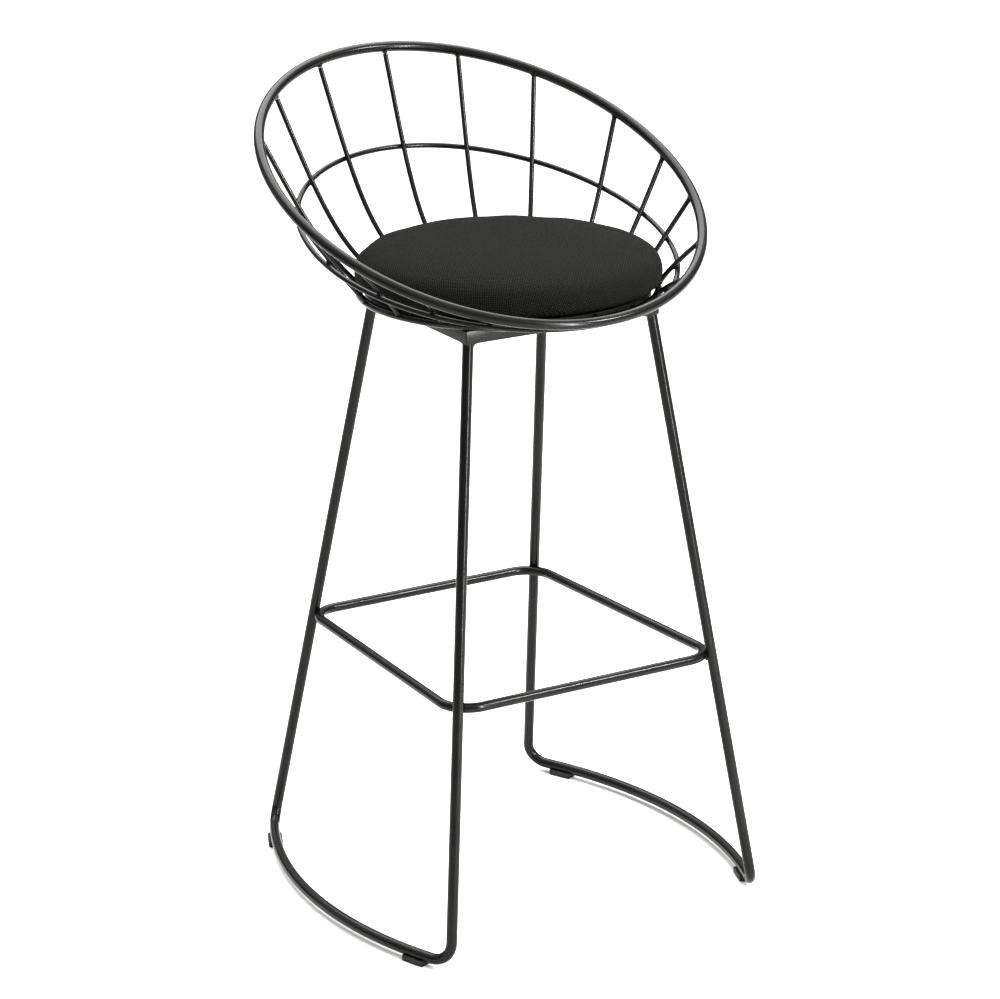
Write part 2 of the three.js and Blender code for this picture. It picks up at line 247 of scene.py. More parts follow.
@dataclass
class Rod:
    """A round steel rod or wire, bent along a path."""

    name: str
    path: list[Vector]
    diameter: float
    closed: bool = False
    around: int = 28
    # An open end is rounded over: steps outwards and shares of the radius there.
    end_round: float = 0.16
    end_steps: tuple[tuple[float, float], ...] = ((0.7, 0.9), (1.0, 0.72))

    def build(self) -> bpy.types.Object:
        """Makes the rod, with slightly domed ends where it is open.

        Returns:
            The rod.
        """
        mesh = bmesh.new()
        radius = self.diameter / 2
        frames = path_frames(self.path, self.closed)
        stations = [(p, f, 1.0) for p, f in zip(self.path, frames)]
        if not self.closed:
            stations = self._domed(stations, radius)
        angles = [2 * math.pi * i / self.around for i in range(self.around)]
        loops = []
        for point, (_, side, up), share in stations:
            spokes = [side * math.cos(a) + up * math.sin(a) for a in angles]
            loops.append([mesh.verts.new(point + spoke * radius * share) for spoke in spokes])
        bridge(mesh, loops, self.closed)
        if not self.closed:
            mesh.faces.new(loops[0])
            mesh.faces.new(loops[-1])
        return make_object(self.name, mesh)

    def _domed(self, stations: list, radius: float) -> list:
        """Adds the rounded-over ends.

        Args:
            stations: Point, axes and share of the radius along the rod.
            radius: The rod's radius.

        Returns:
            The stations with two more at each end.
        """
        edge = self.end_round * radius
        steps = [(edge * out, share) for out, share in self.end_steps]
        first, last = stations[0], stations[-1]
        head = [(first[0] - first[1][0] * out, first[1], share) for out, share in reversed(steps)]
        tail = [(last[0] + last[1][0] * out, last[1], share) for out, share in steps]
        return head + stations + tail


@dataclass
class Welds:
    """A group of welds in one mesh: fillets round the ends of rods, and beads between rods."""

    name: str
    around: int = 28
    steps: int = 5
    fillet_ripple: float = 0.10
    fillet_waves: float = 2.5
    least_spread: float = 0.15 * MM
    steepest: float = 0.5  # spread over height below which a fillet climbs less
    tuck: float = 0.7  # share of the rod's radius where the fillet's skin ends inside it
    sink: float = 0.2 * MM
    bead_swell: float = 0.16
    bead_grain: float = 1.7
    bead_ripple: float = 0.04
    bead_waves: float = 7.0
    crease_angle: float = 60.0
    mesh: bmesh.types.BMesh = field(default_factory=bmesh.new)

    def add_fillet(
        self,
        centre: Vector,
        axis: Vector,
        inner: float,
        reach: Callable[[Vector], float],
        height: float,
        seed: float,
    ) -> None:
        """Adds a concave fillet round a rod where its end meets another piece.

        Args:
            centre: Where the rod's axis meets the other piece.
            axis: From there along the rod.
            inner: The rod's radius.
            reach: How far the foot of the weld spreads from the axis, by direction.
            height: How far the weld climbs the rod.
            seed: Sets the weld's ripples.
        """
        side = axis.orthogonal().normalized()
        up = axis.cross(side)
        waves = self.fillet_waves
        loops = []
        for i in range(self.around):
            angle = 2 * math.pi * i / self.around
            out = side * math.cos(angle) + up * math.sin(angle)
            spot = Vector((seed, waves * math.cos(angle), waves * math.sin(angle)))
            ripple = 1 + self.fillet_ripple * noise.noise(spot)
            spread = max(reach(out) * ripple - inner, self.least_spread)
            climb = height * min(1.0, spread / (self.steepest * height)) * ripple
            profile = [(inner * self.tuck, climb)]
            for k in range(self.steps + 1):
                turn = math.pi / 2 * k / self.steps
                curve = (1 - math.cos(turn), 1 - math.sin(turn))
                profile.append((inner + spread * curve[0], climb * curve[1]))
            profile.append((inner * self.tuck, -self.sink))
            loops.append([self.mesh.verts.new(centre + out * r + axis * h) for r, h in profile])
        bridge(self.mesh, loops, closed=True)

    def add_bead(
        self, centre: Vector, along: Vector, apart: Vector, size: Vector, seed: float
    ) -> None:
        """Adds a rippled bead in the crevice between two rods.

        Args:
            centre: The point where the rods touch.
            along: The direction of one rod.
            apart: From one rod's axis to the other's.
            size: Half sizes along the rod, across it, and between the rods.
            seed: Sets the bead's unevenness.
        """
        x = (along - apart * along.dot(apart)).normalized()
        z = apart.normalized()
        y = z.cross(x)
        made = bmesh.ops.create_icosphere(self.mesh, subdivisions=3, radius=1.0)
        for vert in made["verts"]:
            co = vert.co.copy()
            rough = noise.noise(co * self.bead_grain + Vector((seed, 0, 0)))
            wave = math.sin(self.bead_waves * co.x + seed)
            swell = 1 + self.bead_swell * rough + self.bead_ripple * wave
            grown = x * co.x * size.x + y * co.y * size.y + z * co.z * size.z
            vert.co = centre + grown * swell

    def build(self) -> bpy.types.Object:
        """Turns the welds into one piece."""
        return make_object(self.name, self.mesh, self.crease_angle)


# ---------------------------------------------------------------- the stool's shape


@dataclass(frozen=True)
class Hoop:
    """A tilted oval hoop; sag drops its sides below the plane through its front and back."""

    half_width: float
    half_depth: float
    centre_y: float
    height: float
    rise: float
    sag: float
    rod: float


@dataclass
class StoolShape:
    """The stool's driving sizes in millimetres, front towards -Y, and the curves they make."""

    leg_rod: float = 12.0
    footrest_rod: float = 11.0
    runner_height: float = 12.0
    front_foot: tuple[float, float] = (195.4, -200.3)
    rear_foot: tuple[float, float] = (174.4, 252.0)
    front_top: tuple[float, float] = (114.2, -108.0)
    rear_top: tuple[float, float] = (109.2, 106.5)
    runner_bow: float = 55.0
    bend_reach: float = 23.0
    frame_bottom: float = 666.0
    frame_top: float = 681.0
    frame_front: tuple[float, float] = (120.2, -114.5)
    frame_rear: tuple[float, float] = (117.0, 113.0)
    frame_bar: float = 12.0
    footrest_height: float = 282.0
    footrest_front: tuple[float, float] = (166.4, -163.6)
    footrest_rear: tuple[float, float] = (150.2, 194.8)
    footrest_corner: float = 33.0
    basket_y: float = 0.6
    ring_radius: float = 162.5
    ring_rod: float = 8.5
    ring_height: float = 685.55
    rim: Hoop = Hoop(238.8, 244.6, 56.8, 796.8, 105.3, 0.0, 11.5)
    belt: Hoop = Hoop(203.5, 216.0, 44.5, 736.0, 55.65, 2.6, 6.0)
    rib_rod: float = 5.5
    # The ribs' common profile above the seat ring: handles as radius and height.
    bowl: tuple[tuple[float, float], ...] = ((217.3, 724.1), (232.9, 756.7), (298.4, 902.1))
    rib_axis_y: float = -22.0
    glide_places: tuple[tuple[str, float], ...] = (("front", 0.097), ("rear", 0.902))
    contact_gap: float = 0.3
    offset: Vector = field(init=False)

    def __post_init__(self) -> None:
        """Finds how far the part's origin lies from these sizes' own."""
        low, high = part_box("seat_ring")
        middle = (low + high) / 2 / MM
        self.offset = Vector((0, middle.y - self.basket_y, middle.z - self.ring_height))

    def place(self, point: Vector) -> Vector:
        """Turns a point in millimetres into the part's frame, in metres."""
        return (point + self.offset) * MM

    @property
    def floor(self) -> float:
        """The floor's height among these sizes."""
        return -self.offset.z

    def leg(self, side: int, end: int) -> tuple[Vector, Vector]:
        """Gives a leg's straight centre line.

        Args:
            side: -1 for the left side and 1 for the right one.
            end: 0 for the front leg and 1 for the rear one.

        Returns:
            The points at its top and at the floor runner.
        """
        top = (self.front_top, self.rear_top)[end]
        foot = (self.front_foot, self.rear_foot)[end]
        head = Vector((side * top[0], top[1], self.frame_bottom))
        return head, Vector((side * foot[0], foot[1], self.runner_height))

    def basket_point(self, bearing: float, radius: float, height: float) -> Vector:
        """Gives a point round the basket's upright axis, on a bearing from the back."""
        ahead = self.basket_y + radius * math.cos(bearing)
        return Vector((radius * math.sin(bearing), ahead, height))

    def radius_of(self, point: Vector) -> float:
        """Gives a point's distance from the basket's axis."""
        return math.hypot(point.x, point.y - self.basket_y)

    def ring_point(self, bearing: float) -> Vector:
        """Gives the seat ring's centre line on a bearing."""
        return self.basket_point(bearing, self.ring_radius, self.ring_height)

    def hoop_point(self, hoop: Hoop, bearing: float) -> Vector:
        """Gives a hoop's centre line on a bearing from the basket's axis.

        Args:
            hoop: The rim or the belt.
            bearing: Radians from the back.

        Returns:
            The point, in millimetres.
        """
        wide, deep = math.sin(bearing) / hoop.half_width, math.cos(bearing) / hoop.half_depth
        across = wide**2 + deep**2
        set_back = hoop.centre_y - self.basket_y
        lean = set_back * math.cos(bearing) / hoop.half_depth**2
        rest = (set_back / hoop.half_depth) ** 2 - 1
        radius = (lean + math.sqrt(lean * lean - across * rest)) / across
        backwards = (radius * math.cos(bearing) - set_back) / hoop.half_depth
        sagging = hoop.sag * (2 * backwards * backwards - 1)
        return self.basket_point(bearing, radius, hoop.height + hoop.rise * backwards + sagging)

    def hoop_direction(self, hoop: Hoop, bearing: float) -> Vector:
        """Gives a hoop's direction.

        Args:
            hoop: The rim or the belt.
            bearing: Radians from the back.

        Returns:
            The unit direction.
        """
        step = 0.001
        ahead = self.hoop_point(hoop, bearing + step)
        return (ahead - self.hoop_point(hoop, bearing - step)).normalized()

    def bowl_below(self, height: float) -> list[Vector]:
        """Cuts the bowl's profile off at a height.

        Args:
            height: The cut's height.

        Returns:
            The four handles of the stretch below, as radius and height.
        """
        a, b, c, d = [Vector(p) for p in ((self.ring_radius, self.ring_height), *self.bowl)]
        share = share_while(lambda s: bezier((a, b, c, d), s).y < height)
        ab, bc, cd = a.lerp(b, share), b.lerp(c, share), c.lerp(d, share)
        abc, bcd = ab.lerp(bc, share), bc.lerp(cd, share)
        return [a, ab, abc, abc.lerp(bcd, share)]

    def rib_point(self, heading: Vector, radius: float, height: float) -> Vector:
        """Gives a point of a rib's upright plane, at a distance from the basket's axis.

        Args:
            heading: The level direction in which the rib leans out.
            radius: The distance from the axis.
            height: The point's height.

        Returns:
            The point.
        """
        ahead = self.rib_axis_y - self.basket_y
        lean = heading.y * ahead
        reach = math.sqrt(lean * lean - ahead * ahead + radius * radius) - lean
        return Vector((reach * heading.x, self.rib_axis_y + reach * heading.y, height))

    def bearing_of(self, point: Vector) -> float:
        """Gives a point's bearing from the back."""
        return math.atan2(point.x, point.y - self.basket_y)

    def belt_contact(self, bearing: float, heading: Vector, tangent: Vector) -> Vector:
        """Finds where a rib's centre line passes the belt on its inner side.

        Args:
            bearing: The crossing's bearing.
            heading: The level direction in which the rib leans out.
            tangent: The rib's direction there.

        Returns:
            The rib's centre at the crossing.
        """
        sideways = Vector((heading.y, -heading.x, 0))
        inward = sideways.cross(tangent).normalized()
        apart = self.hoop_direction(self.belt, bearing).cross(tangent).normalized()
        offset = ((self.rib_rod + self.belt.rod) / 2 + self.contact_gap) / abs(apart.dot(inward))
        return self.hoop_point(self.belt, bearing) + inward * offset

    def rib_handles(self, bearing: float) -> tuple[list[Vector], float]:
        """Shapes a rib: the bowl's profile, drawn in or out to meet the rim and the belt.

        Args:
            bearing: Radians from the back.

        Returns:
            The rib's four handles in space, and its share at the belt.
        """
        rim = self.hoop_point(self.rim, bearing)
        heading = Vector((rim.x, rim.y - self.rib_axis_y, 0)).normalized()
        handles = self.bowl_below(rim.z)
        widening = (self.radius_of(rim) - self.ring_radius) / (handles[3].x - self.ring_radius)
        for handle in handles:
            handle.x = self.ring_radius + (handle.x - self.ring_radius) * widening
        share = 0.5
        spatial = [self.rib_point(heading, h.x, h.y) for h in handles]
        for _ in range(4):
            crossing = self.bearing_of(bezier(spatial, share))
            contact = self.belt_contact(crossing, heading, bezier_direction(spatial, share))
            share = share_while(lambda s: bezier(spatial, s).z < contact.z)
            pull = self.radius_of(contact) - self.radius_of(bezier(spatial, share))
            pull /= 3 * share * (1 - share)
            handles[1].x += pull
            handles[2].x += pull
            spatial = [self.rib_point(heading, h.x, h.y) for h in handles]
        return spatial, share

    def runner_point(self, side: int, share: float) -> Vector:
        """Gives a runner's bowed centre line.

        Args:
            side: -1 for the left sled and 1 for the right one.
            share: From the front foot (0) to the rear one (1).

        Returns:
            The point, in millimetres.
        """
        front, rear = self.leg(side, 0)[1], self.leg(side, 1)[1]
        chord = rear.y - front.y
        radius = (chord * chord / 4 + self.runner_bow**2) / (2 * self.runner_bow)
        along = (share - 0.5) * chord
        bow = math.sqrt(radius * radius - along * along) - (radius - self.runner_bow)
        point = front.lerp(rear, share)
        point.x += side * bow
        return point

    def runner_direction(self, side: int, share: float) -> Vector:
        """Gives a runner's direction.

        Args:
            side: -1 for the left sled and 1 for the right one.
            share: From the front foot (0) to the rear one (1).

        Returns:
            The unit direction.
        """
        step = 0.001
        ahead = self.runner_point(side, share + step)
        return (ahead - self.runner_point(side, share - step)).normalized()


def bezier(handles: Sequence[Vector], share: float) -> Vector:
    """Gives a point of a cubic Bezier curve.

    Args:
        handles: The curve's four handles.
        share: How far along it the point lies, from 0 to 1.

    Returns:
        The point.
    """
    a, b, c, d = handles
    rest = 1 - share
    return a * rest**3 + b * (3 * rest**2 * share) + c * (3 * rest * share**2) + d * share**3


def bezier_direction(handles: Sequence[Vector], share: float) -> Vector:
    """Gives a cubic Bezier curve's direction.

    Args:
        handles: The curve's four handles.
        share: How far along it, from 0 to 1.

    Returns:
        The unit direction.
    """
    a, b, c, d = handles
    rest = 1 - share
    return ((b - a) * rest**2 + (c - b) * (2 * rest * share) + (d - c) * share**2).normalized()


def share_while(test: Callable[[float], bool]) -> float:
    """Finds how far along a curve a test holds, by halving the stretch in doubt.

    Args:
        test: Says whether a share of the curve still passes.

    Returns:
        The last share that passes.
    """
    low, high = 0.0, 1.0
    halvings = 30
    for _ in range(halvings):
        middle = (low + high) / 2
        low, high = (middle, high) if test(middle) else (low, middle)
    return low


def bend(start: Vector, into: Vector, end: Vector, out: Vector, steps: int = 14) -> list[Vector]:
    """Joins two straight runs by a round bend.

    Args:
        start: Where the bend leaves the first run.
        into: The first run's direction.
        end: Where it arrives on the second.
        out: The second run's direction.
        steps: How many pieces the bend has.

    Returns:
        The bend's points.
    """
    turn = into.angle(out)
    ratio = 4 / 3 * math.tan(turn / 4) / math.tan(turn / 2)
    handle = ratio * (end - start).length / (2 * math.cos(turn / 2))
    handles = (start, start + into * handle, end - out * handle, end)
    return [bezier(handles, i / steps) for i in range(steps + 1)]


def straight(
    start: Vector, end: Vector, first: int = 1, last: int = STRAIGHT_STEPS - 1
) -> list[Vector]:
    """Divides a straight run into equal pieces.

    Args:
        start: Where the run starts.
        end: Where it ends.
        first: The first division kept; 0 is the start.
        last: The last division kept; STRAIGHT_STEPS is the end.

    Returns:
        The points.
    """
    return [start.lerp(end, k / STRAIGHT_STEPS) for k in range(first, last + 1)]


# ---------------------------------------------------------------- finishes


@dataclass(frozen=True)
class PowderCoat:
    """Baked polyester powder coat on steel: near black and satin, with a faint orange-peel skin."""

    name: str = "satin_black_powder_coat"
    colour: str = "#161615"
    dusty: str = "#20201f"
    cloud: float = 45 * MM  # size of the faint paler patches
    cloud_edges: tuple[float, float] = (0.35, 0.75)
    smear: float = 12 * MM  # size of the patches that handling dulls
    smear_edges: tuple[float, float] = (0.3, 0.7)
    peel: float = 2.2 * MM  # width of one dimple of the orange peel
    peel_depth: float = 0.01 * MM
    peel_strength: float = 0.1
    roughness: tuple[float, float] = (0.2, 0.26)
    ior: float = 1.5
    gloss: float = 0.3

    def build(self) -> bpy.types.Material:
        """Makes the material; the peel breaks up the long highlights on the rods.

        Returns:
            The material.
        """
        material, add, shader = new_material(self.name)
        place = {"Vector": add("ShaderNodeTexCoord").outputs["Object"]}
        cloud = add("ShaderNodeTexNoise", {"Scale": 1 / self.cloud, "Detail": 4.0}, place)
        tone = add("ShaderNodeValToRGB", links={"Fac": cloud})
        stops = zip(tone.color_ramp.elements, self.cloud_edges, (self.colour, self.dusty))
        for stop, position, colour in stops:
            stop.position = position
            stop.color = linear(colour)
        smear = add("ShaderNodeTexNoise", {"Scale": 1 / self.smear, "Detail": 5.0}, place)
        ends = ("From Min", "From Max", "To Min", "To Max")
        spread = dict(zip(ends, (*self.smear_edges, *self.roughness)))
        rough = add("ShaderNodeMapRange", spread, {"Value": smear})
        peel = add("ShaderNodeTexNoise", {"Scale": 1 / self.peel, "Detail": 2.0}, place)
        depth = {"Strength": self.peel_strength, "Distance": self.peel_depth}
        bump = add("ShaderNodeBump", depth, {"Height": peel})
        plug(
            shader,
            {"IOR": self.ior, "Specular IOR Level": self.gloss},
            {"Base Color": tone, "Roughness": rough, "Normal": bump},
        )
        return material


@dataclass(frozen=True)
class WovenCover:
    """Plain-woven polyester upholstery cloth: matt charcoal threads, over and under at a slant,
    with painted shade in the gaps between them.
    """

    name: str = "charcoal_plain_weave_polyester"
    thread_colour: str = "#181817"
    pale_thread: str = "#2b2b29"
    # painted shade: near black where the weave's height is low, in the gaps and at the threads'
    # edges
    gap_shade_colour: str = "#040404"
    # From one thread to the next: coarser than real cloth, so that the weave shows.
    pitch: float = 2.5 * MM
    thread_height: float = 0.9 * MM
    bump: float = 0.9
    slant: float = 38.0  # degrees from the seat's width
    wander: float = 0.35  # waves of a thread's drift, per thread
    drift: float = 0.22  # how far a thread drifts, in threads
    heather: float = 0.9  # waves of paler yarn, per thread
    dip: float = 0.45  # height that a thread keeps where it passes under
    # thread heights over which the painted gap shade gives way to the yarn's colour
    gap_shade_edges: tuple[float, float] = (0.08, 0.6)
    roughness: float = 0.85
    ior: float = 1.46
    gloss: float = 0.2

    def build(self) -> bpy.types.Material:
        """Makes the material; it reads a flat layout of the cover that the cushion stores.

        Returns:
            The material.
        """
        material, add, shader = new_material(self.name)
        layout = add("ShaderNodeAttribute", attribute_name="cover_layout").outputs["Vector"]
        turn = {"Rotation": (0, 0, math.radians(self.slant)), "Scale": (1 / self.pitch,) * 3}
        turned = add("ShaderNodeMapping", turn, {"Vector": layout})
        vector = {"Vector": turned}
        wander = add("ShaderNodeTexNoise", {"Scale": self.wander, "Detail": 1.0}, vector)
        level = {0: wander.outputs["Color"]}
        drift = add("ShaderNodeVectorMath", {1: (-0.5,) * 3}, level, operation="ADD")
        nudge = add("ShaderNodeVectorMath", {"Scale": self.drift}, {0: drift}, operation="SCALE")
        uneven = add("ShaderNodeVectorMath", links={0: turned, 1: nudge}, operation="ADD")
        split = add("ShaderNodeSeparateXYZ", links={0: uneven})
        rounds, wholes = [], []
        for axis in (split.outputs[0], split.outputs[1]):
            part = add("ShaderNodeMath", links={0: axis}, operation="FRACT")
            angle = add("ShaderNodeMath", {1: math.pi}, {0: part}, operation="MULTIPLY")
            rounds.append(add("ShaderNodeMath", links={0: angle}, operation="SINE"))
            wholes.append(add("ShaderNodeMath", links={0: axis}, operation="FLOOR"))
        square = add("ShaderNodeMath", links=dict(enumerate(wholes)), operation="ADD")
        rest = add("ShaderNodeMath", {1: 2.0}, {0: square}, operation="MODULO")
        parity = add("ShaderNodeMath", links={0: rest}, operation="ABSOLUTE")
        overs = []
        for thread, other in (rounds, reversed(rounds)):
            rise = {1: 1 - self.dip, 2: self.dip}
            arch = add("ShaderNodeMath", rise, {0: other}, operation="MULTIPLY_ADD")
            overs.append(add("ShaderNodeMath", links={0: thread, 1: arch}, operation="MULTIPLY"))
        lift = {0: parity, 2: overs[0], 3: overs[1]}
        height = add("ShaderNodeMix", links=lift, data_type="FLOAT")
        heather = add("ShaderNodeTexNoise", {"Scale": self.heather, "Detail": 3.0}, vector)
        yarns = {6: linear(self.thread_colour), 7: linear(self.pale_thread)}
        yarn = add("ShaderNodeMix", yarns, {0: heather}, data_type="RGBA").outputs[2]
        # Painted shade: low thread heights blend from the yarn's colour to the dark gap shade.
        low, high = self.gap_shade_edges
        fill = add("ShaderNodeMapRange", {"From Min": low, "From Max": high}, {"Value": height})
        gap = {6: linear(self.gap_shade_colour)}
        colour = add("ShaderNodeMix", gap, {0: fill, 7: yarn}, data_type="RGBA").outputs[2]
        relief = {"Strength": self.bump, "Distance": self.thread_height}
        plug(
            shader,
            {"Roughness": self.roughness, "IOR": self.ior, "Specular IOR Level": self.gloss},
            {"Base Color": colour, "Normal": add("ShaderNodeBump", relief, {"Height": height})},
        )
        return material


@dataclass(frozen=True)
class StainedPlywood:
    """Birch plywood, stained black and sealed: long faint grain, and thin layers round its edge."""

    name: str = "black_stained_plywood"
    colour: str = "#1b1a19"
    grain_colour: str = "#0f0e0e"
    grain_length: float = 60 * MM
    grain_width: float = 2.2 * MM
    layer: float = 1.6 * MM  # thickness of one ply
    layer_share: float = 0.35
    grain_depth: float = 0.1 * MM
    bump: float = 0.4
    roughness: float = 0.55
    ior: float = 1.5

    def build(self) -> bpy.types.Material:
        """Makes the material; the layers are what tells the eye that the edge is plywood.

        Returns:
            The material.
        """
        material, add, shader = new_material(self.name)
        place = add("ShaderNodeTexCoord").outputs["Object"]
        stretch = {"Scale": (1 / self.grain_length, 1 / self.grain_width, 1 / self.grain_width)}
        stretched = add("ShaderNodeMapping", stretch, {"Vector": place})
        grain = add("ShaderNodeTexNoise", {"Scale": 1.0, "Detail": 6.0}, {"Vector": stretched})
        height = add("ShaderNodeSeparateXYZ", links={0: place}).outputs[2]
        plies = add("ShaderNodeMath", {1: self.layer}, {0: height}, operation="DIVIDE")
        ply = add("ShaderNodeMath", {1: 1.0}, {0: plies}, operation="PINGPONG")
        share = {1: 1 - self.layer_share}
        figure = add("ShaderNodeMath", share, {0: grain}, operation="MULTIPLY")
        layers = {1: self.layer_share}
        pattern = add("ShaderNodeMath", layers, {0: ply, 2: figure}, operation="MULTIPLY_ADD")
        stains = {6: linear(self.grain_colour), 7: linear(self.colour)}
        colour = add("ShaderNodeMix", stains, {0: pattern}, data_type="RGBA").outputs[2]
        relief = {"Strength": self.bump, "Distance": self.grain_depth}
        plug(
            shader,
            {"Roughness": self.roughness, "IOR": self.ior},
            {"Base Color": colour, "Normal": add("ShaderNodeBump", relief, {"Height": pattern})},
        )
        return material


@dataclass(frozen=True)
class MouldedNylon:
    """Injection-moulded black nylon: matt, with the fine spark texture of its mould."""

    name: str = "moulded_black_nylon"
    colour: str = "#141414"
    scuffed: str = "#262625"
    scuff: float = 6 * MM  # size of a scuffed patch
    scuff_edges: tuple[float, float] = (0.55, 0.75)
    spark: float = 0.5 * MM  # coarser than the real texture, so that it shows
    spark_depth: float = 0.03 * MM
    bump: float = 0.4
    roughness: float = 0.52
    ior: float = 1.53

    def build(self) -> bpy.types.Material:
        """Makes the material; its soft even scatter sets the glides off from the shinier rods.

        Returns:
            The material.
        """
        material, add, shader = new_material(self.name)
        place = {"Vector": add("ShaderNodeTexCoord").outputs["Object"]}
        scuff = add("ShaderNodeTexNoise", {"Scale": 1 / self.scuff, "Detail": 6.0}, place)
        low, high = self.scuff_edges
        worn = add("ShaderNodeMapRange", {"From Min": low, "From Max": high}, {"Value": scuff})
        plastics = {6: linear(self.colour), 7: linear(self.scuffed)}
        colour = add("ShaderNodeMix", plastics, {0: worn}, data_type="RGBA").outputs[2]
        grit = add("ShaderNodeTexNoise", {"Scale": 1 / self.spark, "Detail": 2.0}, place)
        relief = {"Strength": self.bump, "Distance": self.spark_depth}
        plug(
            shader,
            {"Roughness": self.roughness, "IOR": self.ior},
            {"Base Color": colour, "Normal": add("ShaderNodeBump", relief, {"Height": grit})},
        )
        return material


@dataclass(frozen=True)
class StudioFloor:
    """A seamless sheet of pale matt paper, seen from above only."""

    name: str = "pale_studio_paper"
    colour: str = "#f4f4f3"
    fibre: str = "#eeeeec"
    fibre_scale: float = 30.0
    roughness: float = 0.9

    def build(self) -> bpy.types.Material:
        """Makes the material; from below it lets the view through.

        Returns:
            The material.
        """
        material, add, shader = new_material(self.name)
        place = {"Vector": add("ShaderNodeTexCoord").outputs["Object"]}
        fibres = add("ShaderNodeTexNoise", {"Scale": self.fibre_scale, "Detail": 5.0}, place)
        papers = {6: linear(self.colour), 7: linear(self.fibre)}
        colour = add("ShaderNodeMix", papers, {0: fibres}, data_type="RGBA").outputs[2]
        plug(shader, {"Roughness": self.roughness}, {"Base Color": colour})
        clear = add("ShaderNodeBsdfTransparent")
        below = add("ShaderNodeNewGeometry").outputs["Backfacing"]
        both = add("ShaderNodeMixShader", links={0: below, 1: shader, 2: clear})
        output = next(n for n in material.node_tree.nodes if n.type == "OUTPUT_MATERIAL")
        plug(output, links={"Surface": both})
        return material


# ---------------------------------------------------------------- sub-assemblies


@dataclass
class Sleds:
    """The two side sleds, each a front leg, a runner and a rear leg in one rod, with glides."""

    shape: StoolShape
    coat: bpy.types.Material
    nylon: bpy.types.Material
    rod_around: int = 36
    runner_steps: int = 44
    glide_length: float = 28.0
    glide_half_width: float = 8.0
    glide_lip: float = 8.5
    glide_lip_round: float = 0.5
    glide_chamfer: float = 1.2
    glide_play: float = 0.1
    glide_steps: int = 20
    # The glide's ends are chamfered: share of its length from the middle, and inset.
    glide_sections: tuple[tuple[float, float], ...] = (
        (-0.5, 0.6),
        (-0.475, 0.0),
        (0.475, 0.0),
        (0.5, 0.6),
    )

    def build(self) -> None:
        """Makes both sleds and all four glides."""
        for name, side in (("left", -1), ("right", 1)):
            size = self.shape.leg_rod * MM
            rod = Rod(f"sled_rod_{name}", self._path(side), size, around=self.rod_around)
            dress(rod.build(), self.coat, Slot.COAT, [f"side_sled_{name}"])
            for end, share in self.shape.glide_places:
                glide = self._glide(f"glide_clip_{end}_{name}", side, share)
                dress(glide, self.nylon, Slot.GLIDE, [f"glide_{end}_{name}"])

    def _path(self, side: int) -> list[Vector]:
        """Lays out a sled's centre line, from the top of its front leg to the top of its rear one.

        Args:
            side: -1 for the left sled and 1 for the right one.

        Returns:
            The points in the part's frame.
        """
        s = self.shape
        (front_top, front_foot), (rear_top, rear_foot) = s.leg(side, 0), s.leg(side, 1)
        down = (front_foot - front_top).normalized()
        up = (rear_top - rear_foot).normalized()
        slack = s.bend_reach / (s.rear_foot[1] - s.front_foot[1])
        steps = self.runner_steps
        shares = [slack + (1 - 2 * slack) * i / steps for i in range(steps + 1)]
        runner = [s.runner_point(side, share) for share in shares]
        ahead, behind = s.runner_direction(side, slack), s.runner_direction(side, 1 - slack)
        toe = bend(front_foot - down * s.bend_reach, down, runner[0], ahead)
        heel = bend(runner[-1], behind, rear_foot + up * s.bend_reach, up)
        front_leg = straight(front_top, toe[0], first=0)
        rear_leg = straight(heel[-1], rear_top, last=STRAIGHT_STEPS)
        return [s.place(p) for p in front_leg + toe[:-1] + runner + heel[1:] + rear_leg]

    def _glide(self, name: str, side: int, share: float) -> bpy.types.Object:
        """Makes a moulded clip that cups the runner and stands on a flat, slightly tapered sole.

        Args:
            name: The piece's name.
            side: -1 for the left sled and 1 for the right one.
            share: Where it sits along the runner.

        Returns:
            The piece.
        """
        s = self.shape
        channel = s.leg_rod / 2 + self.glide_play
        lip = self.glide_lip - s.runner_height
        sole = s.floor - s.runner_height
        half, chamfer, edge = self.glide_half_width, self.glide_chamfer, self.glide_lip_round
        sweep = math.acos(-lip / channel)
        steps = self.glide_steps
        angles = [sweep - 2 * sweep * i / steps for i in range(steps + 1)]
        outline = [(-half + edge, lip), (-half, lip - edge)]
        outline += [(-half, sole + chamfer), (-half + chamfer, sole)]
        outline += [(half - chamfer, sole), (half, sole + chamfer)]
        outline += [(half, lip - edge), (half - edge, lip)]
        outline += [(channel * math.sin(a), -channel * math.cos(a)) for a in angles]
        centre = s.runner_point(side, share)
        along = s.runner_direction(side, share)
        across = Vector((along.y, -along.x, 0))
        mesh = bmesh.new()
        loops = []
        hair = 0.1  # tells the channel and the sole from the rest of the outline
        for offset, inset in self.glide_sections:
            start = centre + along * (offset * self.glide_length)
            loop = []
            for x, z in outline:
                on_channel = math.hypot(x, z) < channel + hair
                narrow = 0.0 if on_channel else math.copysign(min(inset, abs(x)), x)
                raised = inset if z < sole + hair else 0.0
                spot = start + across * (x - narrow) + Vector((0, 0, z + raised))
                loop.append(mesh.verts.new(s.place(spot)))
            loops.append(loop)
        bridge(mesh, loops)
        for loop in (loops[0], loops[-1]):
            mesh.faces.new(loop)
        bmesh.ops.triangulate(mesh, faces=[f for f in mesh.faces if len(f.verts) > 4])
        return make_object(name, mesh, crease_angle=30.0)


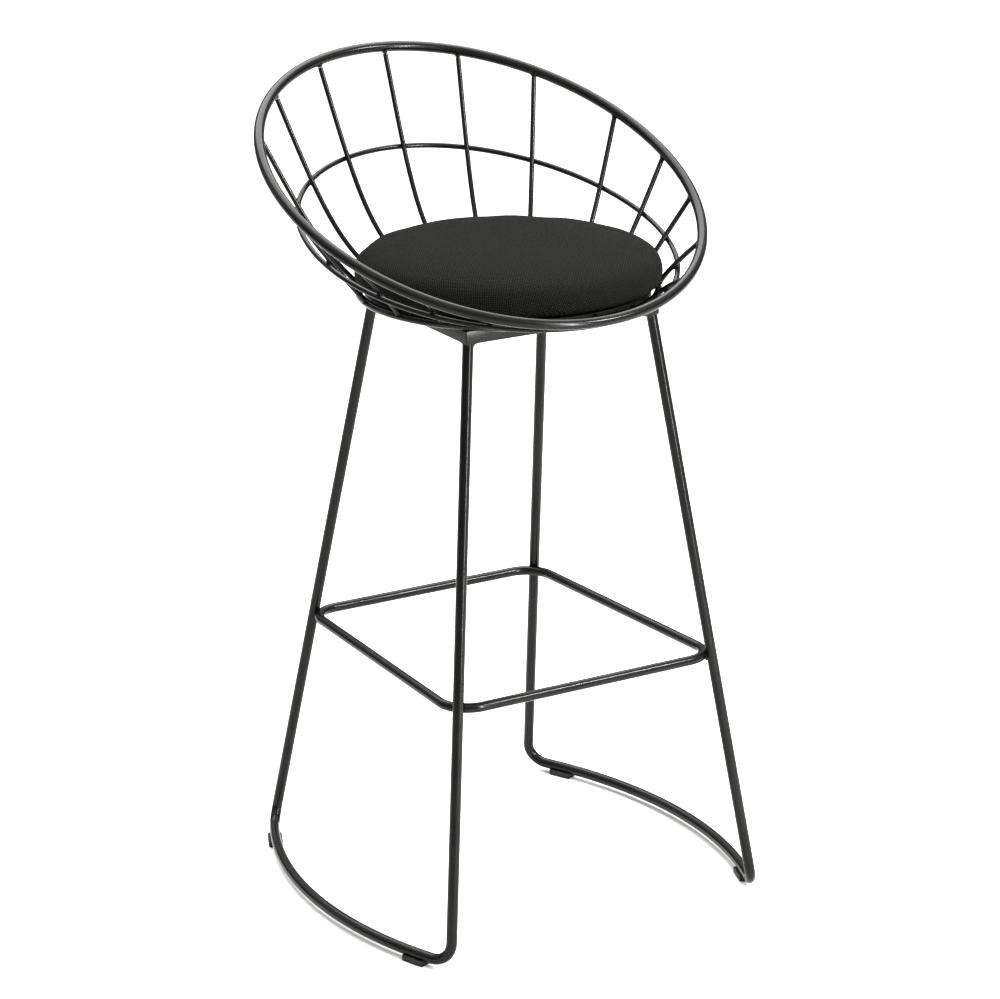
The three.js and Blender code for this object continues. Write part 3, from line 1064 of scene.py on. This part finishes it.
@dataclass
class SeatFrame:
    """The square tube frame that the legs carry, with the welds under its corners."""

    shape: StoolShape
    coat: bpy.types.Material
    edge_round: float = 1.1
    edge_steps: int = 4
    weld_spread: float = 10.5
    weld_height: float = 5.0
    weld_setback: float = 0.3
    bead_size: tuple[float, float, float] = (7.0, 2.6, 1.8)
    bead_inset: float = 3.4
    leg_seed: float = 3.1
    ring_seed: float = 11.0

    def build(self) -> None:
        """Makes the frame and its welds."""
        bars = [f"seat_frame_{side}_bar" for side in ("front", "right", "rear", "left")]
        dress(self._frame(), self.coat, Slot.COAT, bars)
        dress(self._welds(), self.coat, Slot.COAT)

    def corners(self, inset: float) -> list[Vector]:
        """Gives the frame's outline, from the front left corner on.

        Args:
            inset: How far it is moved in.

        Returns:
            Four level points, in millimetres.
        """
        (fx, fy), (rx, ry) = self.shape.frame_front, self.shape.frame_rear
        outline = [(-fx, fy), (fx, fy), (rx, ry), (-rx, ry)]
        inwards = partial(math.copysign, inset)
        return [Vector((x - inwards(x), y - inwards(y), 0)) for x, y in outline]

    def _frame(self) -> bpy.types.Object:
        """Makes the four bars as one welded and ground frame with rounded edges.

        Returns:
            The frame.
        """
        s = self.shape
        mesh = bmesh.new()
        rails = []
        for inset, height in (
            (0, s.frame_bottom),
            (0, s.frame_top),
            (s.frame_bar, s.frame_top),
            (s.frame_bar, s.frame_bottom),
        ):
            spots = [s.place(corner + UP * height) for corner in self.corners(inset)]
            rails.append([mesh.verts.new(spot) for spot in spots])
        bridge(mesh, rails, closed=True)
        bmesh.ops.recalc_face_normals(mesh, faces=mesh.faces)
        bmesh.ops.bevel(
            mesh,
            geom=[e for e in mesh.edges if e.calc_face_angle(0.0) > math.radians(30)],
            offset=self.edge_round * MM,
            segments=self.edge_steps,
            profile=0.5,
            affect="EDGES",
        )
        return make_object("seat_frame_tube", mesh, crease_angle=35.0)

    def _reach(self, axis_point: Vector, out: Vector) -> float:
        """Says how far a corner weld may spread before it meets the frame's outer faces.

        Args:
            axis_point: Where the leg's axis meets the frame, in millimetres.
            out: A direction away from that axis.

        Returns:
            The distance, in metres.
        """
        out = Vector((out.x, out.y, 0)).normalized()
        outline = self.corners(self.weld_setback)
        best = self.weld_spread
        for i in range(4):
            start, end = outline[i], outline[(i + 1) % 4]
            edge = end - start
            normal = Vector((edge.y, -edge.x, 0)).normalized()
            gap = (start - axis_point).dot(normal)
            towards = out.dot(normal)
            if towards > 1e-6:
                best = min(best, gap / towards)
        return max(best, self.shape.leg_rod / 2) * MM

    def _welds(self) -> bpy.types.Object:
        """Makes the fillets round the tops of the legs and the beads under the seat ring.

        Returns:
            The welds.
        """
        s = self.shape
        welds = Welds("seat_frame_welds")
        radius, height = s.leg_rod / 2 * MM, self.weld_height * MM
        for side, end in product((-1, 1), (0, 1)):
            head, toe = s.leg(side, end)
            axis = (toe - head).normalized()
            reach = partial(self._reach, Vector((head.x, head.y, 0)))
            seed = side * self.leg_seed + end
            welds.add_fillet(s.place(head), axis, radius, reach, height, seed)
        for k, corner in enumerate(self.corners(0)):
            bearing = s.bearing_of(corner)
            radial = Vector((math.sin(bearing), math.cos(bearing), 0))
            tangent = Vector((math.cos(bearing), -math.sin(bearing), 0))
            spot = s.ring_point(bearing) - UP * (s.ring_rod / 2) - radial * self.bead_inset
            size = Vector(self.bead_size) * MM
            welds.add_bead(s.place(spot), tangent, UP, size, k + self.ring_seed)
        return welds.build()


@dataclass
class Footrest:
    """The footrest: one rod bent round inside the legs and welded to all four."""

    shape: StoolShape
    coat: bpy.types.Material
    rod_around: int = 32
    bead_size: tuple[float, float, float] = (6.4, 5.2, 3.4)
    seed: float = 2.3

    def build(self) -> None:
        """Makes the rod and its welds."""
        s = self.shape
        path = self._path()
        placed = [s.place(p) for p in path]
        rod = Rod("footrest_rod", placed, s.footrest_rod * MM, True, self.rod_around)
        dress(rod.build(), self.coat, Slot.COAT, ["footrest_ring"])
        dress(self._welds(path), self.coat, Slot.COAT)

    def _path(self) -> list[Vector]:
        """Lays out the footrest's closed centre line in millimetres.

        Returns:
            Its points, in order.
        """
        s = self.shape
        height = s.footrest_height
        (fx, fy), (rx, ry) = s.footrest_front, s.footrest_rear
        outline = ((rx, ry), (fx, fy), (-fx, fy), (-rx, ry))
        corners = [Vector((x, y, height)) for x, y in outline]
        points: list[Vector] = []
        for i, corner in enumerate(corners):
            before, after = corners[i - 1], corners[(i + 1) % 4]
            into, out = (corner - before).normalized(), (after - corner).normalized()
            reach = s.footrest_corner * math.tan(into.angle(out) / 2)
            start, end = corner - into * reach, corner + out * reach
            if points:
                points += straight(points[-1], start)
            points += bend(start, into, end, out)
        return points + straight(points[-1], points[0])

    def _welds(self, path: list[Vector]) -> bpy.types.Object:
        """Makes the four beads between the footrest and the legs.

        Args:
            path: The footrest's centre line in millimetres.

        Returns:
            The piece.
        """
        s = self.shape
        welds = Welds("footrest_welds")
        for side, end in product((-1, 1), (0, 1)):
            head, toe = s.leg(side, end)
            leg = head.lerp(toe, (head.z - s.footrest_height) / (head.z - toe.z))
            near = min(path, key=lambda p: (p - leg).length)
            apart = (leg - near).normalized()
            spot = s.place(near + apart * (s.footrest_rod / 2))
            size = Vector(self.bead_size) * MM
            welds.add_bead(spot, toe - head, apart, size, side * self.seed + end)
        return welds.build()


@dataclass
class Basket:
    """The wire basket: seat ring, rim, belt and ribs, with the welds where they meet."""

    shape: StoolShape
    coat: bpy.types.Material
    bearings: dict[str, tuple[float, ...]] = field(
        default_factory=lambda: {
            "back": (3,),
            "right": (19.7, 37, 58.5, 76.5, 94, 115.3, 136, 156.5),
            "left": (-14.6, -32.5, -50.5, -79, -102.5, -122.5, -142.5, -162.5),
            "front": (177,),
        }
    )
    rib_steps: int = 30
    rib_around: int = 20
    hoop_steps: int = 180
    # Millimetres: how far a rib's end sinks into a hoop, and its welds' sizes.
    rib_sink: float = 0.8
    weld_sink: float = 0.5
    weld_spread: float = 1.7
    weld_height: float = 2.4
    bead_size: tuple[float, float, float] = (3.1, 3.1, 1.7)

    def build(self) -> None:
        """Makes the hoops, the ribs and the welds."""
        s = self.shape
        hoops = {
            "seat_ring": (s.ring_point, s.ring_rod, "seat_ring_rod"),
            "basket_rim": (lambda b: s.hoop_point(s.rim, b), s.rim.rod, "basket_rim_rod"),
            "basket_belt": (lambda b: s.hoop_point(s.belt, b), s.belt.rod, "basket_belt_wire"),
        }
        for node, (point_at, rod, name) in hoops.items():
            turns = [2 * math.pi * i / self.hoop_steps for i in range(self.hoop_steps)]
            path = [s.place(point_at(turn)) for turn in turns]
            dress(Rod(name, path, rod * MM, closed=True).build(), self.coat, Slot.COAT, [node])
        welds = Welds("basket_welds")
        for zone, degrees in self.bearings.items():
            for i, bearing in enumerate(degrees):
                node = f"rib_{zone}_{i + 1}" if len(degrees) > 1 else f"rib_{zone}"
                self._rib(node, math.radians(bearing), welds)
        dress(welds.build(), self.coat, Slot.COAT)

    def _rib(self, node: str, bearing: float, welds: Welds) -> None:
        """Makes a rib and the welds at its foot, at the belt and at the rim.

        Args:
            node: The node of the part that the rib stands for.
            bearing: Radians from the back.
            welds: The welds, which the rib's own join.
        """
        s = self.shape
        handles, crossing = s.rib_handles(bearing)
        radius = s.rib_rod / 2
        pieces = 20
        marks = [bezier(handles, i / pieces) for i in range(pieces + 1)]
        length = sum((high - low).length for low, high in zip(marks, marks[1:]))
        first = (s.ring_rod / 2 - self.rib_sink) / length
        last = 1 - (s.rim.rod / 2 - self.rib_sink) / length
        steps = self.rib_steps
        shares = [first + (last - first) * i / steps for i in range(steps + 1)]
        path = [s.place(bezier(handles, share)) for share in shares]
        rib = Rod(f"{node}_wire", path, s.rib_rod * MM, around=self.rib_around)
        dress(rib.build(), self.coat, Slot.COAT, [node])
        reach = lambda _: (radius + self.weld_spread) * MM
        height = self.weld_height * MM
        for share, sign, hoop_rod in ((0.0, 1, s.ring_rod), (1.0, -1, s.rim.rod)):
            axis = bezier_direction(handles, share) * sign
            foot = s.place(bezier(handles, share) + axis * (hoop_rod / 2 - self.weld_sink))
            welds.add_fillet(foot, axis, radius * MM, reach, height, bearing * 5 + share)
        rib_centre = bezier(handles, crossing)
        apart = (s.hoop_point(s.belt, s.bearing_of(rib_centre)) - rib_centre).normalized()
        spot = s.place(rib_centre + apart * (radius + s.contact_gap / 2))
        size = Vector(self.bead_size) * MM
        welds.add_bead(spot, bezier_direction(handles, crossing), apart, size, bearing * 7)


class Cushion:
    """The round seat: a foam pad under a woven cover, on a plywood board."""

    @dataclass(frozen=True)
    class Sizes:
        """Sizes in metres, and how the cover swells and is eased."""

        board_edge: float = 1.2 * MM
        board_around: int = 128
        pad_around: int = 96
        side: float = 0.42  # share of the pad's height at its widest
        under: tuple[float, ...] = (0.25, 0.5, 0.75, 0.9, 0.965)  # shares of its radius
        foot_rise: float = 2 * MM
        crown_drop: float = 5 * MM
        crown_reach: float = 40 * MM
        voxel: float = 5 * MM
        shrink: float = 4 * MM
        held: float = 1.5 * MM  # height of the underside's rim that the board holds
        pressure: float = 4.0
        frames: int = 20
        give: float = 0.22  # share of the swelling that is kept
        cap: float = 3 * MM
        crown_rise: float = 2 * MM
        smoothing: int = 12
        lump_depth: float = 0.45 * MM
        lump_width: float = 55 * MM
        lump_bias: float = 0.6
        flat: float = 0.6 * MM
        shoulder: float = 0.86  # share of the radius where the cover turns down
        shoulder_drop: float = 14 * MM

    def __init__(
        self, shape: StoolShape, cover: bpy.types.Material, wood: bpy.types.Material
    ) -> None:
        """Keeps what the seat is made from.

        Args:
            shape: The stool's shape.
            cover: The cover's material.
            wood: The board's material.
        """
        self.shape = shape
        self.cover = cover
        self.wood = wood
        self.sizes = self.Sizes()
        self.centre = shape.place(Vector((0, shape.basket_y, 0)))

    def build(self) -> None:
        """Makes the board and the pad."""
        dress(self._board(), self.wood, Slot.BOARD, ["seat_board"])
        pad = self._pad()
        dress(pad, self.cover, Slot.FABRIC, ["seat_cushion"])

    def _turned(self, profile: Sequence[tuple[float, float]], around: int) -> bmesh.types.BMesh:
        """Turns a profile round the seat's axis.

        Args:
            profile: Radius and height pairs from the axis at the bottom to the axis at the top.
            around: How many steps the turn has.

        Returns:
            The closed surface.
        """
        mesh = bmesh.new()
        bottom, top = (mesh.verts.new(self.centre + UP * profile[end][1]) for end in (0, -1))
        angles = [2 * math.pi * i / around for i in range(around)]
        loops = []
        for radius, height in profile[1:-1]:
            ring = [Vector((radius * math.cos(a), radius * math.sin(a), height)) for a in angles]
            loops.append([mesh.verts.new(self.centre + co) for co in ring])
        for i in range(around):
            j = (i + 1) % around
            mesh.faces.new((bottom, loops[0][j], loops[0][i]))
            mesh.faces.new((top, loops[-1][i], loops[-1][j]))
            for low, high in zip(loops, loops[1:]):
                mesh.faces.new((low[i], low[j], high[j], high[i]))
        return mesh

    def _board(self) -> bpy.types.Object:
        """Makes the round board with eased edges.

        Returns:
            The board.
        """
        low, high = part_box("seat_board")
        radius = (high.x - low.x) / 2
        edge = self.sizes.board_edge
        flat = radius - edge
        turns = [math.pi / 2 * k / 4 for k in range(5)]
        profile = [(0.0, low.z)]
        profile += [(flat + edge * math.sin(t), low.z + edge - edge * math.cos(t)) for t in turns]
        profile += [(flat + edge * math.cos(t), high.z - edge + edge * math.sin(t)) for t in turns]
        profile.append((0.0, high.z))
        disc = self._turned(profile, self.sizes.board_around)
        return make_object("seat_board_disc", disc, crease_angle=50.0)

    def _pad(self) -> bpy.types.Object:
        """Makes the pad: a slightly small form, swollen as cloth and settled into its box.

        Returns:
            The pad.
        """
        z = self.sizes
        low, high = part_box("seat_cushion")
        radius = (high.x - low.x) / 2 - z.shrink
        top = high.z - z.shrink
        side = low.z + z.side * (top - low.z)
        under = [(0.0, low.z)] + [(r * radius, low.z) for r in z.under]
        foot = (under[-1], (radius, low.z), (radius, low.z + z.foot_rise), (radius, side))
        wall = [bezier_2d(foot, k / 6) for k in range(1, 7)]
        shoulder = ((radius, top - z.crown_drop), (radius - z.crown_reach, top))
        crown = [bezier_2d(((radius, side), *shoulder, (0.0, top)), k / 14) for k in range(1, 15)]
        form = self._turned(under + wall + crown, z.pad_around)
        pad = make_object("seat_cushion_pad", form, crease_angle=180.0)
        self._remesh(pad)
        self._swell(pad, low.z)
        self._settle(pad, low, high + UP * z.crown_rise)
        self._lay_out_cover(pad)
        return pad

    def _remesh(self, pad: bpy.types.Object) -> None:
        """Gives the pad an even skin of small faces.

        Args:
            pad: The pad.
        """
        remesh = pad.modifiers.new("even_skin", "REMESH")
        remesh.mode = "VOXEL"
        remesh.voxel_size = self.sizes.voxel
        self._apply(pad)

    @staticmethod
    def _apply(pad: bpy.types.Object) -> None:
        """Turns what the pad's modifiers make into its own mesh.

        Args:
            pad: The pad.
        """
        graph = bpy.context.evaluated_depsgraph_get()
        made = bpy.data.meshes.new_from_object(pad.evaluated_get(graph))
        pad.modifiers.clear()
        pad.data = made

    def _swell(self, pad: bpy.types.Object, bottom: float) -> None:
        """Lets air pressure fill the cover, with its underside held to the board.

        Args:
            pad: The pad.
            bottom: The height of its underside.
        """
        before = [v.co.copy() for v in pad.data.vertices]
        held = pad.vertex_groups.new(name="held")
        under = [v.index for v in pad.data.vertices if v.co.z < bottom + self.sizes.held]
        held.add(under, 1.0, "REPLACE")
        cloth = pad.modifiers.new("cover", "CLOTH")
        upholstery = {
            "quality": 6,
            "mass": 0.3,
            "tension_stiffness": 18,
            "compression_stiffness": 18,
            "shear_stiffness": 8,
            "bending_stiffness": 0.6,
            "vertex_group_mass": "held",
            "use_pressure": True,
            "uniform_pressure_force": self.sizes.pressure,
        }
        for setting, value in upholstery.items():
            setattr(cloth.settings, setting, value)
        cloth.settings.effector_weights.gravity = 0
        cloth.point_cache.frame_start = 1
        cloth.point_cache.frame_end = self.sizes.frames
        scene = bpy.context.scene
        for step in range(1, self.sizes.frames + 1):
            scene.frame_set(step)
        self._apply(pad)
        scene.frame_set(1)
        for vert, start in zip(pad.data.vertices, before):
            moved = (vert.co - start) * self.sizes.give
            vert.co = start + moved * min(1.0, self.sizes.cap / max(moved.length, MM))

    def _settle(self, pad: bpy.types.Object, low: Vector, high: Vector) -> None:
        """Fits the swollen pad to the part's box, with a flat underside and a softly uneven crown.

        Args:
            pad: The pad.
            low: The box's lowest corner.
            high: Its highest corner.
        """
        z = self.sizes
        smooth = pad.modifiers.new("ease", "SMOOTH")
        smooth.factor = 0.5
        smooth.iterations = z.smoothing
        split = pad.modifiers.new("finer", "SUBSURF")
        split.levels = 1
        self._apply(pad)
        points = [v.co for v in pad.data.vertices]
        old_low = Vector([min(p[i] for p in points) for i in range(3)])
        old_high = Vector([max(p[i] for p in points) for i in range(3)])
        for vert in pad.data.vertices:
            shares = [(vert.co[i] - old_low[i]) / (old_high[i] - old_low[i]) for i in range(3)]
            vert.co = Vector([low[i] + shares[i] * (high[i] - low[i]) for i in range(3)])
            lump = noise.noise(Vector((vert.co.x, vert.co.y, 0)) / z.lump_width)
            vert.co.z += z.lump_depth * (lump - z.lump_bias) * shares[2]
            if vert.co.z < low.z + z.flat:
                vert.co.z = low.z
        pad.data.polygons.foreach_set("use_smooth", [True] * len(pad.data.polygons))

    def _lay_out_cover(self, pad: bpy.types.Object) -> None:
        """Stores where each point of the cover lay when the cloth was flat, for its threads.

        Args:
            pad: The pad.
        """
        layout = pad.data.attributes.new("cover_layout", "FLOAT_VECTOR", "POINT")
        low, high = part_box("seat_cushion")
        radius = (high.x - low.x) / 2
        shoulder = self.sizes.shoulder * radius
        for i, vert in enumerate(pad.data.vertices):
            flat = vert.co - self.centre
            out = math.hypot(flat.x, flat.y)
            drop = max(high.z - vert.co.z, 0.0)
            reach = out
            if out >= shoulder:
                reach += max(drop - self.sizes.shoulder_drop, 0.0)
            stretch = reach / out if out > MM else 1.0
            layout.data[i].vector = (flat.x * stretch, flat.y * stretch, 0.0)


def bezier_2d(handles: Sequence[tuple[float, float]], share: float) -> tuple[float, float]:
    """Gives a point of a cubic Bezier curve in a plane."""
    point = bezier([Vector(h) for h in handles], share)
    return (point.x, point.y)


# ---------------------------------------------------------------- studio


@dataclass(frozen=True)
class SoftBox:
    """A large soft light aimed at the stool."""

    name: str
    place: tuple[float, float, float]
    size: tuple[float, float]
    power: float
    aim: tuple[float, float, float] = (0.0, 0.0, 0.55)

    def build(self) -> None:
        """Hangs the light."""
        data = bpy.data.lights.new(self.name, "AREA")
        data.shape = "RECTANGLE"
        data.size, data.size_y = self.size
        data.energy = self.power
        lamp = bpy.data.objects.new(self.name, data)
        lamp.location = self.place
        towards = Vector(self.aim) - Vector(self.place)
        lamp.rotation_euler = towards.to_track_quat("-Z", "Y").to_euler()
        bpy.context.scene.collection.objects.link(lamp)
        log.info("%s: %.0f W", self.name, self.power)


@dataclass
class Studio:
    """A pale floor, soft light and the camera."""

    shape: StoolShape
    # The sky is dark at the horizon and bright overhead, which keeps the rods' sides dark.
    floor_size: float = 60.0
    sky_low: float = 0.0
    sky_high: float = 1.5
    azimuth: float = -30.736
    elevation: float = 17.949
    roll: float = -0.321
    distance: float = 3.8
    target: tuple[float, float] = (-5.74, 443.26)
    lens: float = 123.88
    shift: tuple[float, float] = (-0.00533, 0.00283)
    boxes: tuple[SoftBox, ...] = (
        SoftBox("overhead_box", (0.5, 1.3, 3.1), (3.4, 3.0), 100.0),
        SoftBox("key_strip", (0.62, -2.75, 1.2), (0.14, 2.1), 66.0),
        SoftBox("bar_box", (1.55, -2.1, 2.25), (0.5, 0.3), 44.0),
        SoftBox("edge_strip", (-2.4, 2.5, 1.2), (0.5, 2.0), 3.0),
    )

    def build(self) -> None:
        """Makes the floor, the sky, the lights and the camera."""
        mesh = bmesh.new()
        half = self.floor_size / 2
        corners = [(-half, -half), (half, -half), (half, half), (-half, half)]
        mesh.faces.new([mesh.verts.new((x, y, 0)) for x, y in corners])
        floor = make_object("studio_floor", mesh)
        if floor.data.polygons[0].normal.z < 0:
            floor.data.flip_normals()
        floor.data.materials.append(StudioFloor().build())
        world = bpy.data.worlds.new("studio_sky")
        world.use_nodes = True
        sky = world.node_tree
        way = add_node(sky, "ShaderNodeTexCoord").outputs["Generated"]
        height = add_node(sky, "ShaderNodeSeparateXYZ", links={0: way}).outputs[2]
        strength = {"To Min": self.sky_low, "To Max": self.sky_high}
        glow = add_node(sky, "ShaderNodeMapRange", strength, {"Value": height})
        plug(sky.nodes["Background"], {"Color": (1.0, 1.0, 1.0, 1.0)}, {"Strength": glow})
        bpy.context.scene.world = world
        bpy.context.scene.view_settings.view_transform = "Standard"
        bpy.context.scene.view_settings.look = "High Contrast"
        for box in self.boxes:
            box.build()
        self._camera()

    def _camera(self) -> None:
        """Stands the camera at the front left, a little above the seat."""
        turn, tilt, roll = (math.radians(a) for a in (self.azimuth, self.elevation, self.roll))
        away = math.cos(tilt)
        back = Vector((math.sin(turn) * away, -math.cos(turn) * away, math.sin(tilt)))
        level = Vector((math.cos(turn), math.sin(turn), 0))
        steep = back.cross(level)
        right = level * math.cos(roll) + steep * math.sin(roll)
        up = steep * math.cos(roll) - level * math.sin(roll)
        data = bpy.data.cameras.new("view")
        data.lens = self.lens
        data.sensor_width = 36.0
        data.shift_x, data.shift_y = self.shift
        data.clip_start, data.clip_end = 0.1, 100.0
        camera = bpy.data.objects.new("view", data)
        target = self.shape.place(Vector((self.target[0], 0, self.target[1])))
        pose = Matrix((right, up, back)).transposed().to_4x4()
        pose.translation = target + back * self.distance
        camera.matrix_world = pose
        bpy.context.scene.collection.objects.link(camera)
        bpy.context.scene.camera = camera


def main() -> None:
    """Builds every piece of the stool and the studio round it."""
    logging.basicConfig(level=logging.INFO, format="%(name)s: %(message)s")
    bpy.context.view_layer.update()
    shape = StoolShape()
    coat = PowderCoat().build()
    Sleds(shape, coat, MouldedNylon().build()).build()
    SeatFrame(shape, coat).build()
    Footrest(shape, coat).build()
    Basket(shape, coat).build()
    Cushion(shape, WovenCover().build(), StainedPlywood().build()).build()
    Studio(shape).build()


if __name__ == "__main__":
    main()
